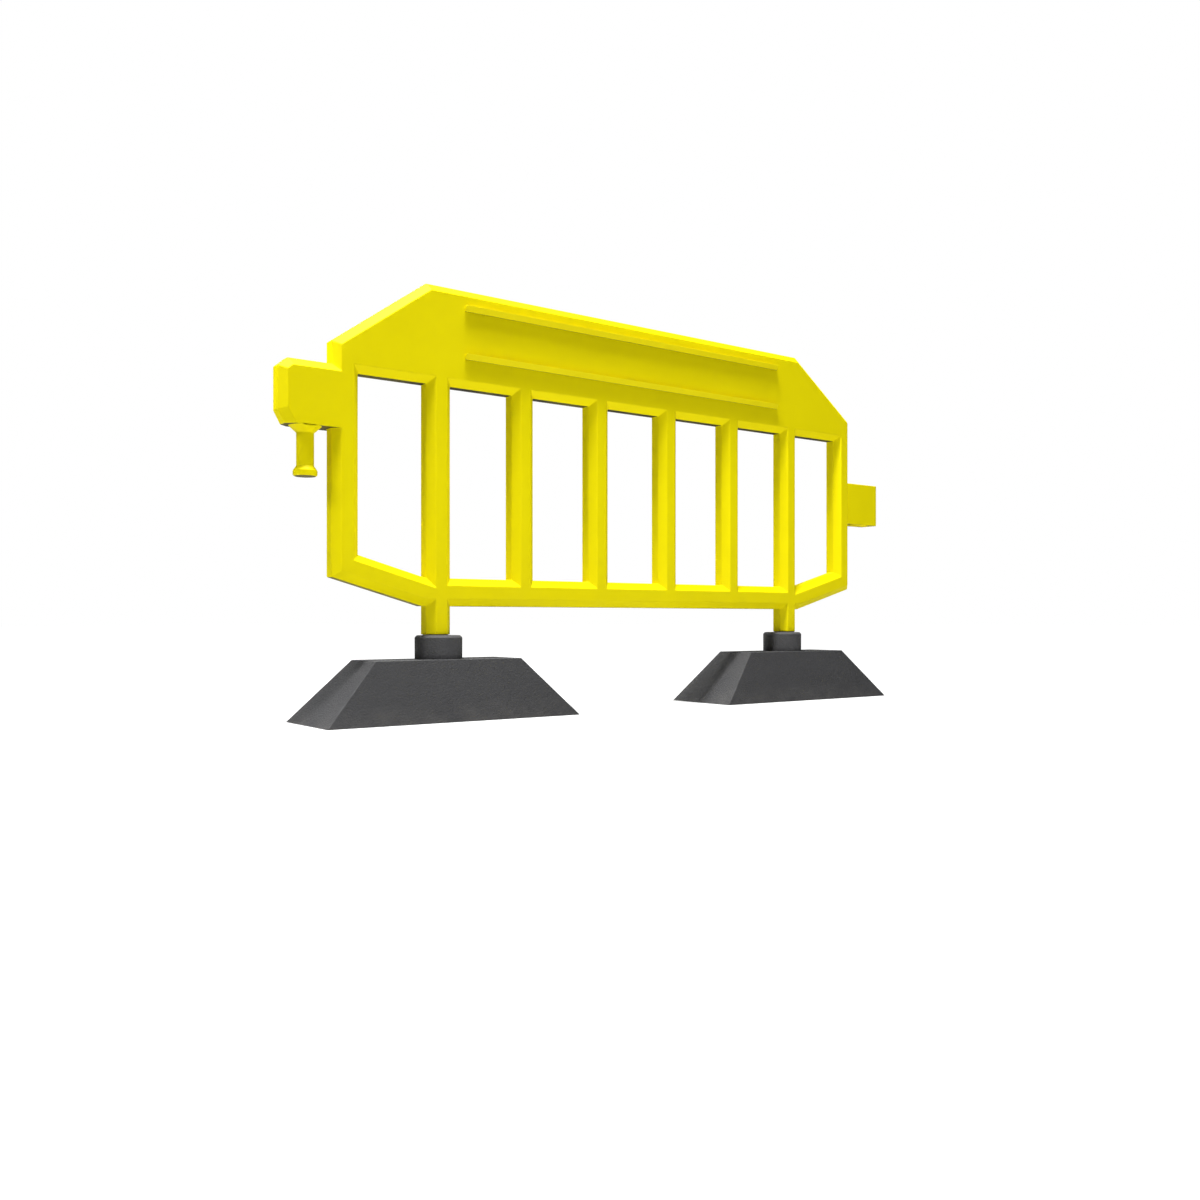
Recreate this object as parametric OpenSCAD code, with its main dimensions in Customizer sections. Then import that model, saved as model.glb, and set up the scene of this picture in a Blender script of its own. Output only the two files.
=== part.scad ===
// Pedestrian barrier: a hollow panel of bevelled bars that stands on two swivelling ballast feet.
// X runs along the panel, +Y is its rear and +Z is up. The origin is on the ground under its middle.

/* [Panel outline] */
// Height of the panel's top edge above the ground
panel_top = 1000; // [960:5:1060]
// Distance between the centres of neighbouring bars
bar_pitch = 230; // [200:5:245]
// Number of upright bars, with the two end stiles
bar_count = 8; // [6:2:8]
// Height of the top band's underside
band_bottom = 770; // [700:5:790]
// Horizontal run of the cut top corners
corner_run = 230; // [120:5:240]
// Drop of the cut top corners
corner_drop = 165; // [100:5:190]
// Height of the bottom rail's underside
rail_bottom = 260; // [245:5:300]
// Height of the bottom rail
rail_height = 65; // [60:1:76]
// Horizontal run of the sloped lower corners
slope_run = 219; // [180:1:225]
// Rise of the sloped lower corners
slope_rise = 62; // [30:1:80]

/* [Section] */
// Width of a bar, across its side flats
bar_width = 62; // [60:1:70]
// Thickness of the panel, face to face
panel_depth = 60; // [60:1:66]
// Size of the 45 degree bevels
bevel = 17; // [12:0.5:18]
// Wall thickness of the two shells
wall = 3.5; // [3:0.5:4]

/* [Links] */
// Reach of the hook block and of the socket block beyond the end stiles
link_reach = 120; // [112:1:130]
// Distance from the left end stile to the link pin's axis
pin_offset = 54; // [50:1:60]
// Distance from the right end stile to the socket's axis
socket_offset = 70; // [66:1:76]
// Height of the plane where a hook block rests on its neighbour's socket block
link_height = 645; // [620:5:680]
// Height of the hook block
hook_height = 140; // [120:5:150]
// Horizontal run of the hook block's cut upper corner
hook_cut_run = 22; // [8:1:30]
// Drop of the hook block's cut upper corner
hook_cut_drop = 19; // [8:1:30]
// Horizontal run of the hook block's cut lower corner
hook_toe_run = 15; // [8:1:20]
// Rise of the hook block's cut lower corner
hook_toe_rise = 28; // [16:1:34]
// Height of the socket block
socket_height = 124; // [118:1:150]
// Diameter of the socket
socket_bore = 54; // [53:0.5:54]
// Radius of the socket block's upright corners
socket_corner = 7; // [4:0.5:10]
// Diameter of the link pin's head
pin_head = 52; // [48:0.5:52.5]
// Height of the link pin's head
pin_head_height = 12; // [8:1:16]
// Diameter of the link pin's shank
pin_shank = 37.5; // [30:0.5:40]
// Length of the link pin below the hook block
pin_drop = 108; // [95:1:116]
// Diameter of the pin's flared neck at its root
pin_neck = 70; // [50:1:72]
// Height of the pin's flared neck
pin_neck_height = 15; // [10:1:24]

/* [Sign rails] */
// Length of a sign rail
sign_length = 1026; // [700:10:1060]
// Height of the upper sign rail's foot
sign_upper = 947; // [930:1:955]
// Height of the lower sign rail's foot
sign_lower = 835; // [810:1:850]
// Height of a sign rail
sign_height = 13.5; // [10:0.5:16]
// How far a sign rail's lip stands out
sign_lip = 10; // [6:0.5:14]
// Number of pegs on a sign rail
peg_count = 6; // [4:1:8]
// Diameter of a peg
peg_d = 6; // [4:0.5:6]

/* [Feet] */
// Length of a foot on the ground
foot_length = 644; // [520:10:760]
// Width of a foot on the ground
foot_width = 232; // [200:2:300]
// Height of a foot's deck
foot_height = 138; // [115:1:150]
// Length of a foot's deck
deck_length = 376; // [280:10:440]
// Width of a foot's deck
deck_width = 126; // [120:2:160]
// Diameter of a foot's collar
collar_d = 110; // [96:1:116]
// Height of a foot's collar above its deck
collar_height = 55; // [40:1:70]

/* [Leg pivots] */
// How far a foot's middle lies inward from its leg's axis
foot_offset = 8; // [0:1:12]
// Outer diameter of a leg tube
tube_d = 42.4; // [38:0.1:44]
// Wall of a leg tube
tube_wall = 2.6; // [2:0.1:3.2]
// Height of a leg tube's top end
tube_top = 430; // [400:5:480]
// Wall of a foot's bush
bush_wall = 4; // [3:0.5:5]
// Radial running clearance between a tube and its bush
pivot_clearance = 0.08; // [0.05:0.01:0.1]
// Thickness of a thrust washer
thrust_thick = 1.9; // [1.5:0.1:3]
// Gap between a thrust washer and the foot below it
swivel_gap = 0.1; // [0.05:0.05:0.3]
// Diameter of a retaining washer
keeper_d = 72; // [60:1:76]
// Height of a leg tube's lower end above the ground
tube_bottom = 22; // [20:1:26]
// Thread diameter of a retaining bolt
bolt_d = 12; // [10:1:14]

/* [Shell screws] */
// Diameter of a shell screw
screw_d = 5; // [4:0.5:6]
// Depth of a shell screw's recess
screw_recess = 14; // [8:1:16]

/* [Hidden] */
$fn = 64;
far = 6000;
half_length = (bar_count - 1) / 2 * bar_pitch + bar_width / 2;
leg_index = (bar_count - 1) / 2 - 1;
leg_x = leg_index * bar_pitch;
pin_x = -half_length - pin_offset;
socket_x = half_length + socket_offset;
end_x = half_length + link_reach;
face_y = panel_depth / 2;
collar_top = foot_height + collar_height;
leg_bottom = collar_top + swivel_gap + thrust_thick;
tube_r = tube_d / 2;
bush_r = tube_r + pivot_clearance;
bush_out = bush_r + bush_wall;
flange_r = bush_out + 4;
flange_thick = 3;
keeper_thick = 5;
keeper_play = 0.5;
foot_shoulder = tube_bottom + keeper_play;
plug_height = 26;
bolt_head = 8;
tube_ring = 6;
rib = 5;
pin_flange = 7;
boss_front = 7;
boss_rear = 9;
recess_r = screw_d + 0.6;
slope_tilt = atan(slope_rise / slope_run);
// Convex outline of the panel, anticlockwise seen from the front, as [x, z]
outline = [
    [slope_run - half_length, rail_bottom],
    [half_length - slope_run, rail_bottom],
    [half_length, rail_bottom + slope_rise],
    [half_length, panel_top - corner_drop],
    [half_length - corner_run, panel_top],
    [corner_run - half_length, panel_top],
    [-half_length, panel_top - corner_drop],
    [-half_length, rail_bottom + slope_rise]
];

function bar_x(i) = (i - (bar_count - 1) / 2) * bar_pitch;
function window_x(i) = bar_x(i) + bar_pitch / 2;

// Height of the line that lies "up" above the sloped lower edge, measured square to it
function slope_z(x, up) = rail_bottom + (abs(x) - half_length + slope_run) * tan(slope_tilt) + up / cos(slope_tilt);

// Height of the bottom rail's upper edge, whether the rail is level or sloped there
function rail_top(x, ends) = ends ? slope_z(x, rail_height) : rail_bottom + rail_height;

// The four corners of window i, anticlockwise seen from the front
function window(i) = let (
        ends = i == 0 || i == bar_count - 2,
        left = bar_x(i) + bar_width / 2,
        right = bar_x(i + 1) - bar_width / 2
    ) [[left, rail_top(left, ends)], [right, rail_top(right, ends)], [right, band_bottom], [left, band_bottom]];

// Unit normal that points into an anticlockwise outline from the edge a-b
function inward(a, b) = [a[1] - b[1], b[0] - a[0]] / norm(b - a);

// Outline with each edge moved inward by its own distance, and mitred corners
function inset(points, moves) = let (n = len(points)) [
    for (i = [0:n - 1]) let (
        k = (i + n - 1) % n,
        before = inward(points[k], points[i]),
        after = inward(points[i], points[(i + 1) % n]),
        shift = [moves[k] * after[1] - moves[i] * before[1], moves[i] * before[0] - moves[k] * after[0]]
    ) points[i] + shift / (before[0] * after[1] - before[1] * after[0])
];

// The same distance for each edge of an outline
function even(points, d) = [for (point = points) d];

// A bevel as it is left on a surface that lies "skin" inside the outer one
function inner_bevel(skin) = bevel - (2 - sqrt(2)) * skin;

// Where the shell screws go, as [x, z]: along the band, across the bars, along the bottom rail, in the hook
function screw_spots() = concat(
    [for (i = [0:bar_count - 2]) [window_x(i), (band_bottom + sign_lower + sign_upper + panel_top) / 4]],
    [for (i = [0:bar_count - 1]) [bar_x(i), (band_bottom + rail_bottom) / 2 + rail_height / 2]],
    [for (i = [1:bar_count - 3]) [window_x(i), rail_bottom + rail_height / 2]],
    [for (i = [0, bar_count - 2]) [window_x(i), slope_z(window_x(i), rail_height / 2)]],
    [[pin_x, link_height + hook_height * 0.55]]
);

function peg_x(i) = (i / (peg_count - 1) - 0.5) * (sign_length - 60);

// Solid through rings of [x, z] points, each ring at its own y from front to rear
module stack(rings, ys) {
    n = len(rings[0]);
    last = len(rings) - 1;
    polyhedron(
        points = [for (k = [0:last], point = rings[k]) [point[0], ys[k], point[1]]],
        faces = concat(
            [[for (i = [n - 1:-1:0]) i]],
            [for (k = [0:last - 1], i = [0:n - 1])
                [k * n + i, k * n + (i + 1) % n, (k + 1) * n + (i + 1) % n, (k + 1) * n + i]],
            [[for (i = [0:n - 1]) last * n + i]]
        )
    );
}

// Convex plate with a 45 degree bevel on both sides of its edges; only bevelled edges have a 1 in marks
module bevelled_plate(points, depth, cut, marks) {
    y = depth / 2;
    face = inset(points, marks * cut);
    stack([face, points, points, face], [-y, cut - y, y - cut, y]);
}

// Cutter for a window whose edges flare at 45 degrees towards both faces
module flared_window(points, depth, cut) {
    y = depth / 2;
    over = 1;
    mouth = inset(points, even(points, -cut - over));
    stack([mouth, points, points, mouth], [-y - over, cut - y, y - cut, y + over]);
}

// Octagonal section of a bar, with its long side flats along y
module bar_section(skin) {
    x = bar_width / 2 - skin;
    y = face_y - skin;
    cut = inner_bevel(skin);
    polygon([
        [-x, cut - y], [cut - x, -y], [x - cut, -y], [x, cut - y],
        [x, y - cut], [x - cut, y], [cut - x, y], [-x, y - cut]
    ]);
}

// The panel, its legs and its hook block as one body, "skin" inside the outer surface
module housing(skin) {
    depth = panel_depth - 2 * skin;
    cut = inner_bevel(skin);
    hook = [
        [hook_toe_run - end_x, link_height],
        [bar_width / 2 - half_length, link_height],
        [bar_width / 2 - half_length, link_height + hook_height],
        [hook_cut_run - end_x, link_height + hook_height],
        [-end_x, link_height + hook_height - hook_cut_drop],
        [-end_x, link_height + hook_toe_rise]
    ];
    difference() {
        bevelled_plate(inset(outline, even(outline, skin)), depth, cut, even(outline, 1));
        for (i = [0:bar_count - 2])
            flared_window(inset(window(i), even(window(i), -skin)), depth, cut);
    }
    bevelled_plate(inset(hook, even(hook, skin)), depth, cut, [0, 0, 1, 1, 1, 1]);
    for (side = [-1, 1])
        translate([side * leg_x, 0, leg_bottom + skin])
            linear_extrude(rail_bottom + rail_height / 2 - leg_bottom - skin) bar_section(skin);
}

// Everything on one side of the seam: side is -1 for the front and 1 for the rear
module half_space(side) {
    translate([-far / 2, side > 0 ? 0 : -far, -far / 2]) cube(far);
}

// Ribs that clamp the leg tubes' rings and the link pin's flange
module clamp_ribs() {
    intersection() {
        housing(wall / 2);
        union() {
            for (side = [-1, 1], z = [leg_bottom + 50, tube_top - 30 - rib, tube_top - 30 + tube_ring])
                translate([side * leg_x - bar_width / 2, -face_y, z]) cube([bar_width, panel_depth, rib]);
            translate([-end_x, -face_y, link_height + wall + pin_flange])
                cube([link_reach + wall / 2, panel_depth, rib]);
        }
    }
}

module shell(side) {
    seam_to_face = face_y - wall / 2;
    difference() {
        union() {
            intersection() {
                difference() {
                    housing(0);
                    housing(wall);
                }
                half_space(side);
            }
            intersection() {
                clamp_ribs();
                half_space(side);
            }
            for (spot = screw_spots())
                translate([spot[0], 0, spot[1]]) rotate([-90 * side, 0, 0])
                    cylinder(r = side > 0 ? boss_rear : boss_front, h = seam_to_face);
        }
        for (s = [-1, 1])
            translate([s * leg_x, 0, 0]) cylinder(r = tube_r, h = tube_top + 10);
        translate([pin_x, 0, link_height - 1]) cylinder(d = pin_shank, h = wall + pin_flange + rib + 2);
        socket_tongue();
        for (x = [0:peg_count - 1], z = [sign_upper, sign_lower])
            translate([peg_x(x), side * (face_y - wall - 1), z + sign_height / 2]) rotate([-90 * side, 0, 0])
                cylinder(d = peg_d, h = wall + 2);
        for (spot = screw_spots())
            translate([spot[0], 0, spot[1]]) rotate([-90, 0, 0])
                if (side > 0) {
                    translate([0, 0, -1]) cylinder(d = screw_d + 0.6, h = face_y);
                    translate([0, 0, face_y - screw_recess]) cylinder(r = recess_r, h = screw_recess + 1);
                } else
                    translate([0, 0, wall + 2 - face_y]) cylinder(d = screw_d, h = face_y);
    }
}

module front_shell() {
    color("gold") shell(-1);
}

module rear_shell() {
    color("gold") shell(1);
}

// Thread-forming screws, driven from the rear
module shell_screws() {
    seat = face_y - screw_recess;
    color("silver")
        for (spot = screw_spots())
            translate([spot[0], 0, spot[1]]) rotate([-90, 0, 0])
                difference() {
                    union() {
                        translate([0, 0, wall + 4 - face_y]) cylinder(d = screw_d, h = seat - wall - 4 + face_y);
                        translate([0, 0, seat]) cylinder(r1 = screw_d - 0.2, r2 = screw_d - 1, h = 3.5);
                    }
                    translate([0, 0, seat + 1.2]) cylinder(d = screw_d * 0.9, h = 3, $fn = 6);
                }
}

// Headed link pin, with a flange that the shells clamp inside the hook block
module link_pin() {
    shank_r = pin_shank / 2;
    head_r = pin_head / 2;
    tip = link_height - pin_drop;
    edge = 3;
    flare = head_r - shank_r + 3;
    color("gold") translate([pin_x, 0, 0]) {
        intersection() {
            translate([0, 0, link_height - pin_neck_height])
                cylinder(r1 = shank_r, r2 = pin_neck / 2, h = pin_neck_height);
            translate([-far / 2, -face_y, 0]) cube([far, panel_depth, far]);
        }
        translate([0, 0, tip + edge])
            cylinder(r = shank_r, h = pin_drop + wall + pin_flange + rib - edge);
        translate([0, 0, link_height + wall]) cylinder(r = shank_r + 6, h = pin_flange);
        translate([0, 0, tip + pin_head_height]) cylinder(r1 = head_r, r2 = shank_r, h = flare);
        translate([0, 0, tip + edge]) cylinder(r = head_r, h = pin_head_height - edge);
        translate([0, 0, tip]) cylinder(r1 = head_r - edge, r2 = head_r, h = edge);
    }
}

// The part of the socket block that passes through the end stile's wall and is clamped behind it
module socket_tongue() {
    z = link_height - socket_height;
    translate([half_length - wall - 1, -9, z + 28]) cube([wall + 2, 18, socket_height - 56]);
    intersection() {
        translate([0, 0, z + 20]) linear_extrude(socket_height - 40)
            translate([bar_x(bar_count - 1), 0]) bar_section(wall);
        translate([half_length - wall - 9, -face_y, 0]) cube([9, panel_depth, far]);
    }
}

// Block beside the right end stile whose round socket takes the next panel's pin
module link_socket() {
    z = link_height - socket_height;
    r = socket_corner;
    bore_r = socket_bore / 2;
    web = 4;
    color("gold") {
        difference() {
            translate([0, 0, z]) linear_extrude(socket_height) {
                translate([half_length - bevel, -face_y]) square([link_reach + bevel - r, panel_depth]);
                translate([half_length, r - face_y]) square([link_reach, panel_depth - 2 * r]);
                for (y = [r - face_y, face_y - r])
                    translate([end_x - r, y]) circle(r);
            }
            translate([bar_x(bar_count - 1), 0, z - 1]) linear_extrude(socket_height + 2) bar_section(0);
            translate([socket_x, 0, z - 1]) cylinder(r = bore_r, h = socket_height + 2);
            translate([half_length + 6, web - face_y, z - 1])
                cube([socket_offset - bore_r - web - 6, panel_depth - 2 * web, socket_height - web]);
            translate([socket_x + bore_r + web, r - face_y, z - 1])
                cube([link_reach - socket_offset - bore_r - 2 * web, panel_depth - 2 * r, socket_height - web]);
        }
        socket_tongue();
    }
}

// V-shaped channel that a sign hooks into, pegged through the shell's face
module sign_rail(z, side) {
    h = sign_height;
    back = 2;
    stake = 1.5;
    color("gold") translate([0, side * face_y, z]) mirror([0, side > 0 ? 0 : 1, 0]) {
        rotate([90, 0, 90]) linear_extrude(sign_length, center = true)
            polygon([
                [0, 0], [back + 0.6, 0], [sign_lip, h], [sign_lip - 2.4, h], [back, 2.5], [back, h], [0, h]
            ]);
        for (i = [0:peg_count - 1])
            translate([peg_x(i), 0, h / 2]) rotate([90, 0, 0]) {
                translate([0, 0, -back / 2]) cylinder(d = peg_d, h = wall + stake + back / 2);
                translate([0, 0, wall]) cylinder(d = peg_d + 3, h = stake);
            }
    }
}

module upper_front_sign_rail() {
    sign_rail(sign_upper, -1);
}

module lower_front_sign_rail() {
    sign_rail(sign_lower, -1);
}

module upper_rear_sign_rail() {
    sign_rail(sign_upper, 1);
}

module lower_rear_sign_rail() {
    sign_rail(sign_lower, 1);
}

// Steel pivot tube with a ring that the shells clamp
module leg_tube(side) {
    color("silver") translate([side * leg_x, 0, 0]) difference() {
        union() {
            translate([0, 0, tube_bottom]) cylinder(r = tube_r, h = tube_top - tube_bottom);
            translate([0, 0, tube_top - 30]) cylinder(r = tube_r + 4, h = tube_ring);
        }
        translate([0, 0, tube_bottom - 1]) cylinder(r = tube_r - tube_wall, h = tube_top);
    }
}

module left_leg_tube() {
    leg_tube(-1);
}

module right_leg_tube() {
    leg_tube(1);
}

// Threaded plug in the tube's lower end
module tube_plug(side) {
    color("dimgray") translate([side * leg_x, 0, tube_bottom]) difference() {
        cylinder(r = tube_r - tube_wall, h = plug_height);
        translate([0, 0, -1]) cylinder(d = bolt_d, h = plug_height + 2);
    }
}

module left_tube_plug() {
    tube_plug(-1);
}

module right_tube_plug() {
    tube_plug(1);
}

module thrust_washer(side) {
    color("white") translate([side * leg_x, 0, collar_top + swivel_gap]) difference() {
        cylinder(r = flange_r, h = thrust_thick);
        translate([0, 0, -1]) cylinder(r = tube_r, h = thrust_thick + 2);
    }
}

module left_thrust_washer() {
    thrust_washer(-1);
}

module right_thrust_washer() {
    thrust_washer(1);
}

// Flanged bush that turns on the leg tube
module foot_bush(side) {
    color("white") translate([side * leg_x, 0, 0]) difference() {
        union() {
            translate([0, 0, foot_shoulder]) cylinder(r = bush_out, h = collar_top - foot_shoulder);
            translate([0, 0, collar_top - flange_thick]) cylinder(r = flange_r, h = flange_thick);
        }
        cylinder(r = bush_r, h = collar_top + 1);
    }
}

module left_foot_bush() {
    foot_bush(-1);
}

module right_foot_bush() {
    foot_bush(1);
}

// Symmetrical trapezoid with its base on the x axis
module trapezoid(base, top, height) {
    polygon([[-base / 2, 0], [base / 2, 0], [top / 2, height], [-top / 2, height]]);
}

// Ballast foot: a truncated pyramid with a round collar for the leg
module foot_block(side) {
    rim = 5;
    color([0.26, 0.26, 0.27]) translate([side * leg_x, 0, 0]) difference() {
        translate([-side * foot_offset, 0, 0]) {
            intersection() {
                rotate([90, 0, 0]) linear_extrude(foot_width, center = true)
                    trapezoid(foot_length, deck_length, foot_height);
                rotate([90, 0, 90]) linear_extrude(foot_length, center = true)
                    trapezoid(foot_width, deck_width, foot_height);
            }
            translate([0, 0, foot_height - 20]) cylinder(d = collar_d, h = collar_height + 20 - rim);
            translate([0, 0, collar_top - rim]) cylinder(d1 = collar_d, d2 = collar_d - 2 * rim, h = rim);
        }
        translate([0, 0, -1]) cylinder(r = keeper_d / 2 + 5, h = foot_shoulder + 1);
        cylinder(r = bush_out, h = collar_top + 1);
        translate([0, 0, collar_top - flange_thick]) cylinder(r = flange_r, h = flange_thick + 1);
    }
}

module left_foot_block() {
    foot_block(-1);
}

module right_foot_block() {
    foot_block(1);
}

// Washer under the tube's end that keeps the foot on the tube
module retaining_washer(side) {
    color("silver") translate([side * leg_x, 0, tube_bottom - keeper_thick]) difference() {
        cylinder(d = keeper_d, h = keeper_thick);
        translate([0, 0, -1]) cylinder(d = bolt_d + 1, h = keeper_thick + 2);
    }
}

module left_retaining_washer() {
    retaining_washer(-1);
}

module right_retaining_washer() {
    retaining_washer(1);
}

module retaining_bolt(side) {
    seat = tube_bottom - keeper_thick;
    color("silver") translate([side * leg_x, 0, 0]) {
        translate([0, 0, seat - bolt_head]) cylinder(r = bolt_d * 0.92, h = bolt_head, $fn = 6);
        translate([0, 0, seat - 1]) cylinder(d = bolt_d, h = keeper_thick + plug_height - 1);
    }
}

module left_retaining_bolt() {
    retaining_bolt(-1);
}

module right_retaining_bolt() {
    retaining_bolt(1);
}

front_shell();
rear_shell();
shell_screws();
link_pin();
link_socket();
upper_front_sign_rail();
lower_front_sign_rail();
upper_rear_sign_rail();
lower_rear_sign_rail();
left_leg_tube();
right_leg_tube();
left_tube_plug();
right_tube_plug();
left_thrust_washer();
right_thrust_washer();
left_foot_bush();
right_foot_bush();
left_foot_block();
right_foot_block();
left_retaining_washer();
right_retaining_washer();
left_retaining_bolt();
right_retaining_bolt();
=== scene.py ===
import bpy
import math
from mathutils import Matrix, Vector
from mathutils.bvhtree import BVHTree

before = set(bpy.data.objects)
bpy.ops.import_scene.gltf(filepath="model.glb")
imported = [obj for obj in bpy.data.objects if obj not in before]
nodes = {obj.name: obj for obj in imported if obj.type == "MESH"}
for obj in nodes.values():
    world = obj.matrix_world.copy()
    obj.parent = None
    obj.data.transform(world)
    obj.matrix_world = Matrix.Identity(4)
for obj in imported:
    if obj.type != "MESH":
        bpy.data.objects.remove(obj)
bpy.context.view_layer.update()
scene = bpy.context.scene
print("frame loaded:", len(nodes), "nodes")


# ---- small helpers for building node trees ----

def addNode(tree, kind, x, y, inputs=None, **settings):
    node = tree.nodes.new(kind)
    node.location = (x, y)
    for name, value in settings.items():
        setattr(node, name, value)
    for name, value in (inputs or {}).items():
        node.inputs[name].default_value = value
    return node


def newGroup(name, inputs, outputs):
    group = bpy.data.node_groups.new(name, "ShaderNodeTree")
    for label, kind, value in inputs:
        socket = group.interface.new_socket(label, in_out="INPUT", socket_type="NodeSocket" + kind)
        if value is not None:
            socket.default_value = value
    for label, kind in outputs:
        group.interface.new_socket(label, in_out="OUTPUT", socket_type="NodeSocket" + kind)
    source = addNode(group, "NodeGroupInput", -900, 0)
    sink = addNode(group, "NodeGroupOutput", 900, 0)
    return group, source, sink


# ---- effects that several finishes share ----

def makeMouldedGrain():
    # fine spark-eroded grain of the tool, over the slow ripple of a cooled wall
    group, source, sink = newGroup(
        "mouldedGrain",
        [("Grain Size", "Float", 900.0), ("Grain Depth", "Float", 0.35),
         ("Ripple Size", "Float", 9.0), ("Ripple Depth", "Float", 1.0)],
        [("Height", "Float"), ("Gloss Break", "Float")])
    link = group.links.new
    coord = addNode(group, "ShaderNodeTexCoord", -700, 200)
    grain = addNode(group, "ShaderNodeTexNoise", -400, 300, {"Detail": 3.0, "Roughness": 0.6})
    ripple = addNode(group, "ShaderNodeTexNoise", -400, 0, {"Detail": 1.5, "Roughness": 0.4})
    grainOut = addNode(group, "ShaderNodeMath", -100, 300, operation="MULTIPLY")
    rippleOut = addNode(group, "ShaderNodeMath", -100, 0, operation="MULTIPLY")
    total = addNode(group, "ShaderNodeMath", 200, 150, operation="ADD")
    link(coord.outputs["Object"], grain.inputs["Vector"])
    link(coord.outputs["Object"], ripple.inputs["Vector"])
    link(source.outputs["Grain Size"], grain.inputs["Scale"])
    link(source.outputs["Ripple Size"], ripple.inputs["Scale"])
    link(grain.outputs["Fac"], grainOut.inputs[0])
    link(source.outputs["Grain Depth"], grainOut.inputs[1])
    link(ripple.outputs["Fac"], rippleOut.inputs[0])
    link(source.outputs["Ripple Depth"], rippleOut.inputs[1])
    link(grainOut.outputs[0], total.inputs[0])
    link(rippleOut.outputs[0], total.inputs[1])
    link(total.outputs[0], sink.inputs["Height"])
    link(ripple.outputs["Fac"], sink.inputs["Gloss Break"])
    return group


def makeToneDrift():
    # two close tones of the same stock, drifting over the piece
    group, source, sink = newGroup(
        "toneDrift",
        [("Tone A", "Color", None), ("Tone B", "Color", None),
         ("Size", "Float", 3.0), ("Low", "Float", 0.35), ("High", "Float", 0.65)],
        [("Color", "Color"), ("Mask", "Float")])
    link = group.links.new
    coord = addNode(group, "ShaderNodeTexCoord", -700, 0)
    clouds = addNode(group, "ShaderNodeTexNoise", -450, 0,
                     {"Detail": 5.0, "Roughness": 0.55, "Distortion": 0.4})
    spread = addNode(group, "ShaderNodeMapRange", -150, 0)
    mix = addNode(group, "ShaderNodeMix", 200, 0, data_type="RGBA")
    link(coord.outputs["Object"], clouds.inputs["Vector"])
    link(source.outputs["Size"], clouds.inputs["Scale"])
    link(clouds.outputs["Fac"], spread.inputs["Value"])
    link(source.outputs["Low"], spread.inputs["From Min"])
    link(source.outputs["High"], spread.inputs["From Max"])
    link(spread.outputs["Result"], mix.inputs["Factor"])
    link(source.outputs["Tone A"], mix.inputs["A"])
    link(source.outputs["Tone B"], mix.inputs["B"])
    link(mix.outputs["Result"], sink.inputs["Color"])
    link(spread.outputs["Result"], sink.inputs["Mask"])
    return group


def makeHandlingScuffs():
    # short stretched scratches, thicker where barriers rub in a stack
    group, source, sink = newGroup(
        "handlingScuffs",
        [("Size", "Float", 14.0), ("Stretch", "Vector", (0.25, 1.0, 3.0)),
         ("Amount", "Float", 0.5), ("Patchiness", "Float", 2.2)],
        [("Mask", "Float")])
    link = group.links.new
    coord = addNode(group, "ShaderNodeTexCoord", -800, 0)
    turn = addNode(group, "ShaderNodeVectorMath", -600, 0, operation="MULTIPLY")
    lines = addNode(group, "ShaderNodeTexNoise", -350, 100, {"Detail": 8.0, "Roughness": 0.72})
    patches = addNode(group, "ShaderNodeTexNoise", -350, -200, {"Detail": 2.0})
    lineMask = addNode(group, "ShaderNodeMapRange", -100, 100, {"From Min": 0.62, "From Max": 0.74})
    patchMask = addNode(group, "ShaderNodeMapRange", -100, -200, {"From Min": 0.48, "From Max": 0.68})
    both = addNode(group, "ShaderNodeMath", 200, 0, operation="MULTIPLY")
    scaled = addNode(group, "ShaderNodeMath", 450, 0, operation="MULTIPLY")
    link(coord.outputs["Object"], turn.inputs[0])
    link(source.outputs["Stretch"], turn.inputs[1])
    link(turn.outputs["Vector"], lines.inputs["Vector"])
    link(source.outputs["Size"], lines.inputs["Scale"])
    link(coord.outputs["Object"], patches.inputs["Vector"])
    link(source.outputs["Patchiness"], patches.inputs["Scale"])
    link(lines.outputs["Fac"], lineMask.inputs["Value"])
    link(patches.outputs["Fac"], patchMask.inputs["Value"])
    link(lineMask.outputs["Result"], both.inputs[0])
    link(patchMask.outputs["Result"], both.inputs[1])
    link(both.outputs[0], scaled.inputs[0])
    link(source.outputs["Amount"], scaled.inputs[1])
    link(scaled.outputs[0], sink.inputs["Mask"])
    return group


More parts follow.
